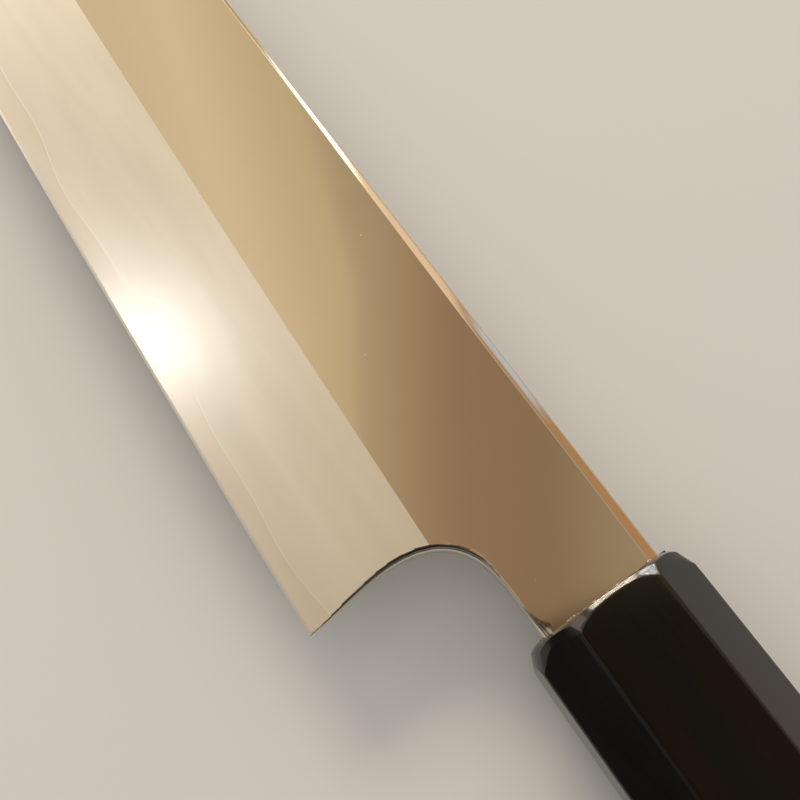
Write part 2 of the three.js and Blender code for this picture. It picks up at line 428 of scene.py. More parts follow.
@dataclass(frozen=True)
class Wood(Finish):
    """Planed wood with its grain along the handle: streaked colour and short open pores."""

    streak_colour: str = "#000000"
    streak_mm: tuple[float, float] = (45.0, 1.6)
    pore_mm: tuple[float, float] = (3.2, 0.22)
    pore_depth_mm: float = 0.02

    def dress(self, tree: bpy.types.NodeTree, place: bpy.types.NodeSocket) -> Feeds:
        """Add streaks and pores along the grain.

        Args:
            tree: the material's node tree.
            place: coordinates in row metres.

        Returns:
            The output that feeds each of the shader's inputs.
        """
        drawn = [
            add_node(
                tree,
                "ShaderNodeMapping",
                {"Vector": place, "Scale": (per_metre(along), per_metre(across), per_metre(across))},
            )
            for along, across in (self.streak_mm, self.pore_mm)
        ]
        streak = add_node(
            tree,
            "ShaderNodeTexNoise",
            {"Vector": drawn[0].outputs[0], "Scale": 1.0, "Detail": 5.0, "Roughness": 0.6, "Distortion": 0.4},
        )
        pores = add_node(
            tree,
            "ShaderNodeTexNoise",
            {"Vector": drawn[1].outputs[0], "Scale": 1.0, "Detail": 2.0, "Roughness": 0.5},
        )
        tint = add_node(
            tree,
            "ShaderNodeValToRGB",
            {"Fac": streak.outputs["Fac"]},
            stops=((0.35, linear(self.streak_colour)), (0.65, linear(self.colour))),
        )
        pore = add_node(
            tree,
            "ShaderNodeMapRange",
            {"Value": pores.outputs["Fac"], 1: 0.3, 2: 0.42},
        )
        shaded = add_node(
            tree,
            "ShaderNodeMix",
            {"Factor": pore.outputs["Result"], "A": linear(self.streak_colour), "B": tint.outputs["Color"]},
            data_type="RGBA",
        )
        gloss = add_node(
            tree,
            "ShaderNodeMapRange",
            {"Value": pore.outputs["Result"], 3: min(1.0, 1.6 * self.roughness), 4: self.roughness},
        )
        bump = add_node(
            tree,
            "ShaderNodeBump",
            {"Height": pore.outputs["Result"], "Distance": self.pore_depth_mm * MM, "Strength": 1.0},
        )
        return {
            "Base Color": shaded.outputs["Result"],
            "Roughness": gloss.outputs["Result"],
            "Normal": bump.outputs["Normal"],
        }


@dataclass(frozen=True)
class Resin(Finish):
    """Cured resin: pale, lumpy, with darker specks of polishing dirt caught in it."""

    speck_colour: str = "#5a2a16"
    speck_mm: float = 0.45
    lump_mm: float = 0.3
    lump_depth_mm: float = 0.05
    speck_reach: float = 0.5

    def dress(self, tree: bpy.types.NodeTree, place: bpy.types.NodeSocket) -> Feeds:
        """Add specks of dirt and small lumps.

        Args:
            tree: the material's node tree.
            place: coordinates in row metres.

        Returns:
            The output that feeds each of the shader's inputs.
        """
        specks = add_node(
            tree,
            "ShaderNodeTexNoise",
            {"Vector": place, "Scale": per_metre(self.speck_mm), "Detail": 3.0, "Roughness": 0.65},
        )
        lumps = add_node(
            tree,
            "ShaderNodeTexNoise",
            {"Vector": place, "Scale": per_metre(self.lump_mm), "Detail": 2.0},
        )
        tint = add_node(
            tree,
            "ShaderNodeValToRGB",
            {"Fac": specks.outputs["Fac"]},
            stops=(
                (self.speck_reach - 0.06, linear(self.speck_colour)),
                (self.speck_reach, linear(self.colour)),
            ),
        )
        bump = add_node(
            tree,
            "ShaderNodeBump",
            {"Height": lumps.outputs["Fac"], "Distance": self.lump_depth_mm * MM, "Strength": 1.0},
        )
        return {
            "Base Color": tint.outputs["Color"],
            "Normal": bump.outputs["Normal"],
        }


@dataclass(frozen=True)
class PaintedBoard(Finish):
    """A board in pale matt paint: even, with the faintest roller texture."""

    stipple_mm: float = 1.2
    stipple_depth_mm: float = 0.01

    def dress(self, tree: bpy.types.NodeTree, place: bpy.types.NodeSocket) -> Feeds:
        """Add the roller's stipple.

        Args:
            tree: the material's node tree.
            place: coordinates in row metres.

        Returns:
            The output that feeds each of the shader's inputs.
        """
        stipple = add_node(
            tree,
            "ShaderNodeTexNoise",
            {"Vector": place, "Scale": per_metre(self.stipple_mm), "Detail": 2.0},
        )
        bump = add_node(
            tree,
            "ShaderNodeBump",
            {"Height": stipple.outputs["Fac"], "Distance": self.stipple_depth_mm * MM, "Strength": 1.0},
        )
        return {"Normal": bump.outputs["Normal"]}


MIRROR_STEEL = MirrorSteel("mirror_buffed_stainless_steel", "#dad6cd", 0.07, metallic=1.0)
BUFFED_STEEL = MirrorSteel("buffed_stainless_steel_edges", "#d6d0c6", 0.1, metallic=1.0, wave_mm=6.0)
# The haze scatters part of the light like a matt surface, so these two are not fully metallic.
HAZED_STEEL = HazedSteel("stone_hazed_stainless_steel", "#dcd9d2", 0.23, metallic=0.75)
CORE_STEEL = HazedSteel("stone_ground_hard_stainless_steel", "#d9d4cb", 0.22, metallic=0.75)
BUFFALO_HORN = Horn("buffed_black_buffalo_horn", "#0a0908", 0.11, ior=1.54, cloud_colour="#170b07")
EBONY = Wood("oiled_ebony", "#2b1d15", 0.3, streak_colour="#140c08", pore_depth_mm=0.012)
DOWEL_WOOD = Wood("planed_pale_hardwood", "#c8a470", 0.7, streak_colour="#a87f4c", streak_mm=(30.0, 0.9))
ADHESIVE = Resin("cured_amber_resin", "#d0bb8c", 0.35, ior=1.55, speck_colour="#b99a5e", speck_mm=2.5)
NECK_RESIN = Resin("cured_resin_bead", "#cdbd9c", 0.45, ior=1.55)
FLOOR_PAINT = PaintedBoard("pale_matt_painted_board", "#dedbd5", 0.8)


class Surface(Enum):
    """How a stretch of the blade was finished. The value is its place in the mesh's material list."""

    MIRROR = 0
    HAZE = 1
    BUFFED = 2


@dataclass
class Piece:
    """One closed mesh in knife millimetres, ready to be placed and dressed."""

    name: str
    slot: str
    points: np.ndarray
    faces: list[tuple[int, ...]]
    finishes: list[Finish]
    face_finish: list[int] = field(default_factory=list)
    point_values: dict[str, np.ndarray] = field(default_factory=dict)
    creases: np.ndarray | None = None
    sharp_degrees: float = 38.0

    def build(self, datum: Datum, stands_for: str) -> bpy.types.Object:
        """Make the Blender object and hang it on the frame.

        Args:
            datum: the knife's own axes.
            stands_for: the CAD node that the piece replaces.

        Returns:
            The dressed object.
        """
        mesh = bpy.data.meshes.new(self.name)
        mesh.from_pydata(datum.place(self.points).tolist(), [], self.faces)
        for finish in self.finishes:
            known = bpy.data.materials.get(finish.name)
            mesh.materials.append(known or finish.material())
        if self.face_finish:
            mesh.polygons.foreach_set("material_index", self.face_finish)
        for name, values in self.point_values.items():
            mesh.attributes.new(name, "FLOAT", "POINT").data.foreach_set("value", values)
        mesh.update()
        mesh.shade_smooth()
        mesh.set_sharp_from_angle(angle=math.radians(self.sharp_degrees))
        self.sharpen(mesh)
        made = bpy.data.objects.new(self.name, mesh)
        bpy.context.scene.collection.objects.link(made)
        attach(made, BODY)
        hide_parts(stands_for)
        log.info("%s: %d points, %d faces", self.name, len(self.points), len(self.faces))
        return made

    def sharpen(self, mesh: bpy.types.Mesh) -> None:
        """Mark edges between two finishes, and along a crease, as sharp, so that each side keeps its plane.

        Args:
            mesh: the piece's mesh.
        """
        seen: dict[tuple[int, int], int] = {}
        border = set()
        for face, finish in zip(self.faces, self.face_finish):
            for a, b in zip(face, face[1:] + face[:1]):
                key = (min(a, b), max(a, b))
                if seen.setdefault(key, finish) != finish:
                    border.add(key)
        crease = np.zeros(len(self.points), int) if self.creases is None else self.creases
        for edge in mesh.edges:
            a, b = sorted(edge.vertices)
            if (a, b) in border or (crease[a] and crease[a] == crease[b]):
                edge.use_edge_sharp = True


def ring_quads(rings: int, count: int, closed: bool = True) -> list[tuple[int, ...]]:
    """Join rings of points into quads.

    Args:
        rings: number of rings, in order along the surface.
        count: points in each ring.
        closed: whether the last ring joins the first.

    Returns:
        Four point numbers per quad.
    """
    quads = []
    for k in range(rings if closed else rings - 1):
        here, there = k * count, (k + 1) % rings * count
        for j in range(count):
            after = (j + 1) % count
            quads.append((here + j, here + after, there + after, there + j))
    return quads


@dataclass(frozen=True)
class BladeForm:
    """Outline and section of the blade, in millimetres from the knife's datum."""

    edge_length: float = 270.0
    heel_height: float = 40.0
    neck_length: float = 16.17
    neck_height: float = 17.3
    neck_underside: float = 5.87
    neck_tenon: float = 6.0
    choil_rise: float = 6.5
    choil_sweep: float = 16.2
    edge_slope: float = 0.0234
    edge_curvature: float = 0.00027
    belly_start: float = 120.0
    belly_rise: float = 12.0
    spine_fall_start: float = 115.0
    neck_half: float = 1.72
    tip_half: float = 0.42
    flat_lean: float = 0.012
    # Height of the spine's eased corners as a share of the half thickness, at places along the blade.
    spine_shares: tuple[tuple[float, float], ...] = (
        (-140.0, 0.36),
        (-92.0, 0.44),
        (-68.0, 0.73),
        (-40.0, 0.88),
        (-12.0, 0.9),
        (-2.0, 0.96),
    )
    # Stretches of the eased corner: the share of its height where each ends, and its slope in degrees.
    spine_ease: tuple[tuple[float, float], ...] = (
        (0.03, 8.0),
        (0.07, 19.0),
        (0.12, 27.5),
        (0.3, 27.5),
        (0.55, 29.5),
        (0.8, 31.5),
        (0.88, 35.0),
        (0.94, 48.0),
        (1.0, 66.0),
    )
    bevel_share: float = 0.45
    bevel_share_growth: float = 0.00046
    core_share: float = 0.27
    lamination: float = 3.1
    lamination_waves: tuple[tuple[float, float, float], ...] = ((0.6, 52.0, 28.0), (0.3, 21.0, 34.75))
    lamination_most: float = 0.4
    cutting_bevel: float = 0.35
    cutting_slope: float = 0.21
    # The cutting bevel is at most this share of the whole bevel, and at least this many times as steep.
    cutting_most: float = 0.15
    cutting_steeper: float = 1.15
    tang_shoulder: float = 0.02
    tang_length: float = 112.0
    tang_heights: tuple[float, float] = (10.0, 5.0)
    tang_thicknesses: tuple[float, float] = (3.0, 2.0)
    axis_depth: float = 9.03

    @property
    def heel_x(self) -> float:
        """Place of the heel's corner."""
        return -self.neck_length

    @property
    def tip_x(self) -> float:
        """Place of the tip."""
        return self.heel_x - self.edge_length

    def reach(self, x: np.ndarray) -> np.ndarray:
        """Distance ahead of the heel, level behind it."""
        return np.maximum(0.0, self.heel_x - x)

    def sweep(self, s: np.ndarray, start: float, power: float) -> np.ndarray:
        """A curve that stays at 0 up to a start and grows to 1 at the tip."""
        return np.maximum(0.0, (s - start) / (self.edge_length - start)) ** power

    def edge_rise(self, s: np.ndarray) -> np.ndarray:
        """Rise of the edge at a distance ahead of the heel."""
        belly = self.belly_rise * self.sweep(s, self.belly_start, 3)
        return self.edge_slope * s + 0.5 * self.edge_curvature * s**2 + belly

    def edge_y(self, x: np.ndarray) -> np.ndarray:
        """Height of the cutting edge."""
        return -self.heel_height + self.edge_rise(self.reach(x))

    def spine_y(self, x: np.ndarray) -> np.ndarray:
        """Height of the spine, which meets the edge at the tip."""
        fall = self.heel_height - self.edge_rise(self.edge_length)
        return -fall * self.sweep(self.reach(x), self.spine_fall_start, 2)

    def bevel_height(self, x: np.ndarray) -> np.ndarray:
        """Height of the bevel line above the edge."""
        share = self.bevel_share + self.bevel_share_growth * self.reach(x)
        return share * (self.spine_y(x) - self.edge_y(x))

    def flat_half(self, x: np.ndarray, y: np.ndarray) -> np.ndarray:
        """Half thickness on the side flat, one plane from neck to tip."""
        taper = (self.neck_half - self.tip_half) / -self.tip_x
        return self.neck_half + taper * x + self.flat_lean * y

    def spine_radius(self, x: np.ndarray) -> np.ndarray:
        """Height of the spine's eased corners."""
        places, shares = zip(*self.spine_shares)
        return np.interp(x, places, shares) * self.flat_half(x, self.spine_y(x))

    def spine_drop(self, share: np.ndarray) -> np.ndarray:
        """How far the spine's eased corner has fallen at a share of its height, as a share of that height.

        Args:
            share: 0 at the shoulder, 1 at the top.

        Returns:
            The fall from the side's plane.
        """
        ends, slopes = np.array(((0.0, 0.0), *self.spine_ease)).T
        falls = np.cumsum(np.diff(ends, prepend=0.0) * np.tan(np.radians(slopes)))
        return np.interp(share, ends, falls)

    def lamination_height(self, x: np.ndarray) -> np.ndarray:
        """Height of the wavy lamination line above the edge.

        Args:
            x: places along the blade.

        Returns:
            The height at each place.
        """
        height = np.full_like(np.asarray(x, float), self.lamination)
        for swing, length, start in self.lamination_waves:
            height = height + swing * np.sin(2 * np.pi * (self.reach(x) - start) / length)
        return np.minimum(height, self.lamination_most * self.bevel_height(x))

    def cutting_height(self, x: np.ndarray) -> np.ndarray:
        """Height of the narrow cutting bevel."""
        return np.minimum(self.cutting_bevel, self.cutting_most * self.bevel_height(x))

    def choil(self, steps: int) -> np.ndarray:
        """Points of the choil's curve from the heel to the neck's straight underside.

        Args:
            steps: number of stretches.

        Returns:
            An array of [x, y] points.
        """
        arms = np.array(
            [
                [self.heel_x, -self.heel_height],
                [self.heel_x, -self.heel_height + self.choil_rise],
                [-self.neck_underside - self.choil_sweep, -self.neck_height],
                [-self.neck_underside, -self.neck_height],
            ]
        )
        t = np.linspace(0.0, 1.0, steps + 1)[:, None]
        weights = np.hstack([(1 - t) ** 3, 3 * t * (1 - t) ** 2, 3 * t**2 * (1 - t), t**3])
        return weights @ arms

    def base_half(self, x: np.ndarray, y: np.ndarray) -> np.ndarray:
        """Half thickness of the ground blade before its corners are eased.

        Args:
            x: places along the blade.
            y: heights.

        Returns:
            Half thickness at each point.
        """
        edge, bevel = self.edge_y(x), self.bevel_height(x)
        line = self.flat_half(x, edge + bevel)
        cut = self.cutting_height(x)
        cut_half = cut * np.maximum(self.cutting_slope, self.cutting_steeper * line / bevel)
        up = y - edge
        ground = cut_half + (line - cut_half) * (up - cut) / (bevel - cut)
        ground = np.where(up < cut, cut_half * np.maximum(up, 0.0) / cut, ground)
        return np.where(up >= bevel, self.flat_half(x, y), ground)

    def core_half(self, x: np.ndarray, y: np.ndarray) -> np.ndarray:
        """Half thickness of the core: even near the edge, then changing steadily to the spine.

        Args:
            x: places along the blade.
            y: heights.

        Returns:
            Half thickness at each point.
        """
        edge, bevel, spine = self.edge_y(x), self.bevel_height(x), self.spine_y(x)
        at_edge = self.base_half(x, edge + self.lamination_height(x))
        kink = edge + 0.5 * (self.lamination_height(x) + bevel)
        share = np.clip((y - kink) / (spine - kink), 0.0, 1.0)
        return at_edge + share * (self.core_share * self.flat_half(x, spine) - at_edge)

    def in_tang(self, x: np.ndarray) -> np.ndarray:
        """Whether places lie on the tang, behind its shoulder."""
        return x > self.neck_tenon + self.tang_shoulder / 2

    def tang_half(self, x: np.ndarray, sizes: tuple[float, float]) -> np.ndarray:
        """Half of a tang size that tapers from root to end."""
        return (sizes[0] + (sizes[1] - sizes[0]) * x / self.tang_length) / 2


@dataclass
class Plan:
    """A blade seen square to its side: points, the quads between them and the finish of each quad."""

    points: np.ndarray
    quads: np.ndarray
    surfaces: np.ndarray
    rows: np.ndarray


@dataclass
class Blade:
    """The three-layer blade with its neck and tang."""

    datum: Datum
    form: BladeForm = field(default_factory=BladeForm)
    layer_gap: float = 0.01
    # The core's most share of the thickness, on the blade and on the tang.
    core_most: float = 0.9
    tang_core: float = 0.32
    # Radius of the choil's and underside's edges at places along them, and its most share of the thickness.
    roundings: tuple[tuple[float, float], ...] = (
        (-11.6, 0.75),
        (-8.6, 0.28),
        (-4.6, 0.28),
        (-2.8, 0.4),
        (-1.6, 0.7),
        (-0.3, 1.3),
        (0.4, 1.5),
    )
    round_most: float = 0.72
    round_kink: float = 0.22
    choil_steps: int = 320
    blend_length: float = 26.0
    column_step: float = 2.2

    ROW_CUTTING = 1
    ROW_LAMINATION = 3
    ROW_BEVEL_LINE = 11
    ROW_FILLET = 15

    def __post_init__(self) -> None:
        """Work out the choil's curve and the fillet point where it turns from rising to running back."""
        self.curve = self.form.choil(self.choil_steps)
        direction = np.diff(self.curve, axis=0)
        turn = int(np.argmax(direction[:, 0] > direction[:, 1]))
        self.fillet = self.curve[turn]
        self.rising = self.curve[: turn + 1]
        self.running = self.curve[turn:]
        tenon = np.linspace(-self.form.neck_underside, self.form.neck_tenon, 120)[1:]
        under = np.column_stack([tenon, np.full_like(tenon, -self.form.neck_height)])
        self.border = np.vstack([self.curve, under])

    def flat_rows(self) -> np.ndarray:
        """Shares of the height between the fillet row and the spine's shoulder, close near both.

        Returns:
            Rising shares from 0 to 1.
        """
        near = [0.0, 0.003, 0.008, 0.015, 0.023, 0.032, 0.043, 0.058, 0.08, 0.11, 0.15]
        far = [0.21, 0.29, 0.39, 0.5, 0.61, 0.72, 0.82, 0.9, 0.95, 0.985, 1.0]
        return np.array(near + far)

    def round_rows(self) -> np.ndarray:
        """Shares of the spine's eased corner, past its shoulder."""
        return np.array(self.form.spine_ease)[:, 0]

    def spine_rows(self, x: np.ndarray, low: np.ndarray) -> list[np.ndarray]:
        """Rows from a lower line over the flat and the spine's eased corner.

        Args:
            x: places along the blade.
            low: height of the lower line there.

        Returns:
            One array of heights for each row.
        """
        radius, spine = self.form.spine_radius(x), self.form.spine_y(x)
        shoulder = spine - radius
        rows = [low + share * (shoulder - low) for share in self.flat_rows()]
        return rows + [shoulder + radius * share for share in self.round_rows()]

    def blade_rows(self, x: np.ndarray) -> np.ndarray:
        """Heights of every row of the blade, edge to spine.

        Args:
            x: places along the blade.

        Returns:
            An array with one row of heights per blade row.
        """
        form = self.form
        edge, bevel = form.edge_y(x), form.bevel_height(x)
        cut, seam, line = edge + form.cutting_height(x), edge + form.lamination_height(x), edge + bevel
        heel_line = -form.heel_height + form.bevel_height(np.array(0.0))
        heel_shoulder = -form.spine_radius(self.fillet[0])
        share = (self.fillet[1] - heel_line) / (heel_shoulder - heel_line)
        fillet = line + share * (form.spine_y(x) - form.spine_radius(x) - line)
        rows = [edge]
        for low, high, steps in ((edge, cut, 1), (cut, seam, 2), (seam, line, 8), (line, fillet, 4)):
            rows += [low + (high - low) * k / steps for k in range(1, steps + 1)]
        return np.array(rows + self.spine_rows(x, fillet)[1:])

    def blade_columns(self) -> np.ndarray:
        """Distances ahead of the choil's curve, close beside it and near the tip.

        Returns:
            Rising distances.
        """
        near = [0.0, 0.05, 0.12, 0.21, 0.31, 0.42, 0.54, 0.66, 0.77, 0.9, 1.15, 1.6, 2.3, 3.3, 4.7, 6.5]
        end = self.fillet[0] - self.form.tip_x
        body = np.arange(8.5, end - 24.0, self.column_step)
        last = [23.0, 21.0, 19.0, 17.0, 15.0, 13.0, 11.0, 9.0, 7.2, 5.6, 4.2, 3.0, 2.0, 1.2, 0.6, 0.15]
        return np.concatenate([near, body, end - np.array(last)])

    def blade_grid(self) -> np.ndarray:
        """Lay out the blade's points, with the columns near the choil bent to its curve.

        Returns:
            An array of [x, y] points by column and row.
        """
        offsets = self.blade_columns()
        ease = np.clip(1 - offsets / self.blend_length, 0.0, 1.0)
        ease = ease * ease * (3 - 2 * ease)
        x = straight = np.tile(self.fillet[0] - offsets, (len(self.blade_rows(np.array([0.0]))), 1))
        for _ in range(SETTLING_ROUNDS):
            y = np.array([self.blade_rows(row)[k] for k, row in enumerate(x)])
            shape = np.interp(y, self.rising[:, 1], self.rising[:, 0]) - self.fillet[0]
            x = straight + ease * shape
        y = np.array([self.blade_rows(row)[k] for k, row in enumerate(x)])
        return np.stack([x.T, y.T], axis=2)

    def neck_grid(self) -> np.ndarray:
        """Lay out the neck's and the tang's points, from the fillet's column to the tang's end.

        Returns:
            An array of [x, y] points by column and row.
        """
        form = self.form
        x = np.concatenate(
            [
                np.linspace(self.fillet[0], -form.neck_underside, 26),
                np.linspace(-form.neck_underside, 0.0, 22)[1:],
                [0.6, 2.0, 4.0, form.neck_tenon, form.neck_tenon + form.tang_shoulder],
                np.linspace(form.neck_tenon, form.tang_length, 12)[1:],
            ]
        )
        low = np.interp(x, self.running[:, 0], self.running[:, 1])
        y = np.array(self.spine_rows(x, low))
        share = (y - low) / (-low)
        half = form.tang_half(x, form.tang_heights)
        y = np.where(form.in_tang(x), -form.axis_depth + half * (2 * share - 1), y)
        return np.stack([np.broadcast_to(x, y.shape).T, y.T], axis=2)

    def plan(self) -> Plan:
        """Join the blade's and the neck's points along the fillet's column.

        Returns:
            The whole plan.
        """
        blade, neck = self.blade_grid(), self.neck_grid()[1:]
        rows, neck_rows = blade.shape[1], neck.shape[1]
        points = np.vstack([blade.reshape(-1, 2), neck.reshape(-1, 2)])
        blade_index, fresh = np.split(np.arange(len(points)), [len(blade) * rows])
        blade_index = blade_index.reshape(-1, rows)
        neck_index = np.vstack([blade_index[:1, self.ROW_FILLET :], fresh.reshape(-1, neck_rows)])
        row_of = np.concatenate(
            [np.tile(np.arange(rows), len(blade)), np.tile(np.arange(self.ROW_FILLET, rows), len(neck))]
        )
        quads = np.vstack([self.grid_quads(blade_index[:, ::-1]), self.grid_quads(neck_index)])
        return Plan(points, quads, self.quad_surfaces(points, quads, row_of), row_of)

    def grid_quads(self, index: np.ndarray) -> np.ndarray:
        """Join a grid of point numbers into quads that turn anticlockwise seen from the left face.

        Args:
            index: point numbers by column and row.

        Returns:
            An array of four point numbers per quad.
        """
        a, b, c, d = index[:-1, :-1], index[1:, :-1], index[1:, 1:], index[:-1, 1:]
        return np.column_stack([part.ravel() for part in (a, b, c, d)])

    def border_gap(self, points: np.ndarray) -> tuple[np.ndarray, np.ndarray]:
        """Measure how far points are from the choil and the neck's underside.

        Args:
            points: plan points.

        Returns:
            The distance to the border and the border's rounding radius, for each point.
        """
        away = points[:, None, :] - self.border[None, :, :]
        gap2 = (away**2).sum(axis=2)
        nearest = gap2.argmin(axis=1)
        gap = np.sqrt(gap2[np.arange(len(points)), nearest])
        gap = self.refine_gap(points, nearest, gap)
        places, radii = zip(*self.roundings)
        radius = np.interp(self.border[nearest, 0], places, radii)
        return gap, np.minimum(radius, self.round_most * self.form.base_half(*points.T))

    def refine_gap(self, points: np.ndarray, nearest: np.ndarray, gap: np.ndarray) -> np.ndarray:
        """Measure to the border's stretches as well as to its points.

        Args:
            points: plan points.
            nearest: the border point nearest to each.
            gap: the distance to that point.

        Returns:
            The smaller distance for each point.
        """
        best = gap.copy()
        for side in (-1, 1):
            other = np.clip(nearest + side, 0, len(self.border) - 1)
            start, along = self.border[nearest], self.border[other] - self.border[nearest]
            length2 = np.maximum((along**2).sum(axis=1), 1e-12)
            t = np.clip(((points - start) * along).sum(axis=1) / length2, 0.0, 1.0)
            best = np.minimum(best, np.linalg.norm(points - start - t[:, None] * along, axis=1))
        return best

    def quad_surfaces(self, points: np.ndarray, quads: np.ndarray, row_of: np.ndarray) -> np.ndarray:
        """Find the finish of each quad.

        Args:
            points: plan points.
            quads: four point numbers per quad.
            row_of: blade row of each point.

        Returns:
            A surface number per quad.
        """
        shoulder = self.ROW_FILLET + len(self.flat_rows()) - 1
        top_row = row_of[quads].max(axis=1)
        surface = np.where(top_row <= self.ROW_BEVEL_LINE, Surface.HAZE.value, Surface.MIRROR.value)
        surface = np.where(top_row > shoulder, Surface.BUFFED.value, surface)
        gap, radius = self.border_gap(points[quads].mean(axis=1))
        return np.where(gap < radius, Surface.BUFFED.value, surface)

    def half_thickness(self, plan: Plan) -> np.ndarray:
        """Half thickness of the finished blade at every plan point.

        Args:
            plan: the blade's plan.

        Returns:
            An array of half thicknesses.
        """
        form = self.form
        x, y = plan.points.T
        half = form.base_half(x, y)
        radius = form.spine_radius(x)
        shoulder = form.spine_y(x) - radius
        crown = form.flat_half(x, shoulder) - radius * form.spine_drop((y - shoulder) / radius)
        half = np.where(y > shoulder, crown, half)
        gap, ease = self.border_gap(plan.points)
        inside = np.clip(1 - gap / np.maximum(ease, 1e-6), 0.0, 1.0)
        drop = ease * (1 - np.sqrt(1 - inside**2) + self.round_kink * inside)
        half = np.maximum(half - drop, 0.0)
        return np.where(form.in_tang(x), form.tang_half(x, form.tang_thicknesses), half)

    def layer(
        self,
        name: str,
        slot: str,
        plan: Plan,
        keep: np.ndarray,
        heights: np.ndarray,
        finishes: list[Finish],
    ) -> Piece:
        """Close a layer between two heights over part of the plan.

        Args:
            name: the piece's name.
            slot: its material slot.
            plan: the blade's plan.
            keep: which quads the layer covers.
            heights: its upper and lower height at every plan point.
            finishes: finishes in the order of Surface.

        Returns:
            The closed layer.
        """
        quads, surfaces = plan.quads[keep], plan.surfaces[keep]
        used, local = np.unique(quads, return_inverse=True)
        local = local.reshape(quads.shape)
        upper, lower = heights[0][used], heights[1][used]
        open_point = upper - lower > 1e-6
        upper_number = np.arange(len(used))
        lower_number = np.where(open_point, len(used) + np.cumsum(open_point) - 1, upper_number)
        flat = plan.points[used]
        points = np.vstack(
            [np.column_stack([flat, upper]), np.column_stack([flat, lower])[open_point]]
        )
        faces: list[tuple[int, ...]] = []
        finish: list[int] = []

        def add(corners: Sequence[int], surface: int) -> None:
            """Keep a face without repeated corners.

            Args:
                corners: point numbers in order round the face.
                surface: its surface number.
            """
            ring = tuple(int(c) for k, c in enumerate(corners) if c != corners[k - 1])
            if len(ring) > 2:
                faces.append(ring)
                finish.append(int(surface))

        edges = set()
        for quad, surface in zip(local, surfaces):
            add(upper_number[quad], surface)
            if open_point[quad].any():
                add(lower_number[quad[::-1]], surface)
            edges.update(zip(quad.tolist(), np.roll(quad, -1).tolist()))
        for a, b in sorted(edges):
            if (b, a) not in edges:
                wall = (lower_number[a], lower_number[b], upper_number[b], upper_number[a])
                add(wall, Surface.BUFFED.value)
        seam = self.form.edge_y(points[:, 0]) + self.form.lamination_height(points[:, 0])
        values = {LAMINATION_ATTRIBUTE: (points[:, 1] - seam).astype(np.float32)}
        rows = np.concatenate([plan.rows[used], plan.rows[used][open_point]])
        creases = np.where(np.isin(rows, (self.ROW_CUTTING, self.ROW_LAMINATION)), rows, 0)
        return Piece(name, slot, points, faces, finishes, finish, values, creases)

    def build(self) -> None:
        """Make the core and the two claddings."""
        plan = self.plan()
        half = self.half_thickness(plan)
        rows = plan.rows
        core = np.minimum(self.form.core_half(*plan.points.T), self.core_most * half)
        tang = self.form.in_tang(plan.points[:, 0])
        core = np.where(tang, np.minimum(core, self.tang_core * half), core)
        core_top = np.where(rows <= self.ROW_LAMINATION, half, core - self.layer_gap)
        skin_foot = np.where(rows <= self.ROW_LAMINATION, half, core + self.layer_gap)
        skin_foot = np.minimum(skin_foot, half)
        everywhere = np.ones(len(plan.quads), bool)
        clad = rows[plan.quads].min(axis=1) >= self.ROW_LAMINATION
        skin = [MIRROR_STEEL, HAZED_STEEL, BUFFED_STEEL]
        heart = [MIRROR_STEEL, CORE_STEEL, BUFFED_STEEL]
        layers = (
            ("core_layer", "core_steel", "core_steel", everywhere, (core_top, -core_top), heart),
            ("left_skin", "cladding_steel", "left_cladding", clad, (half, skin_foot), skin),
            ("right_skin", "cladding_steel", "right_cladding", clad, (-skin_foot, -half), skin),
        )
        for name, slot, node, keep, heights, finishes in layers:
            self.layer(name, slot, plan, keep, np.array(heights), finishes).build(self.datum, node)


@dataclass(frozen=True)
class EndFace:
    """An end of the handle: a flat disc, a land round it, and facet chamfers that grow to the corners.

    Slopes are depth along the handle for each step inwards. The slanted facets have their own.
    """

    flat: float
    bow: float
    least_chamfer: float
    slope: float = 1.6
    steepening: float = 0.0
    slant_slope: float = 1.6
    land_share: float = 0.2

    @property
    def crest(self) -> float:
        """Radius of the flat disc."""
        return self.flat - self.least_chamfer / self.slope

    def drop(self, radius: np.ndarray) -> np.ndarray:
        """How far the facets' ends lie behind the disc at a distance from the axis."""
        return self.least_chamfer + self.bow * np.maximum(0.0, radius - self.flat) ** 2

    def depth(self, radius: np.ndarray, share: float) -> np.ndarray:
        """Depth at a share of the chamfer, 0 at its inner edge and 1 at the facets."""
        land = self.land_share * (self.drop(radius) - self.least_chamfer)
        return land + share * (self.drop(radius) - land)

    def run(self, drop: np.ndarray, slanted: bool) -> np.ndarray:
        """Steps inwards for each step along the handle on a facet's chamfer."""
        plain = self.slope + self.steepening * (drop - self.least_chamfer)
        return 1 / (np.full_like(drop, self.slant_slope) if slanted else plain)


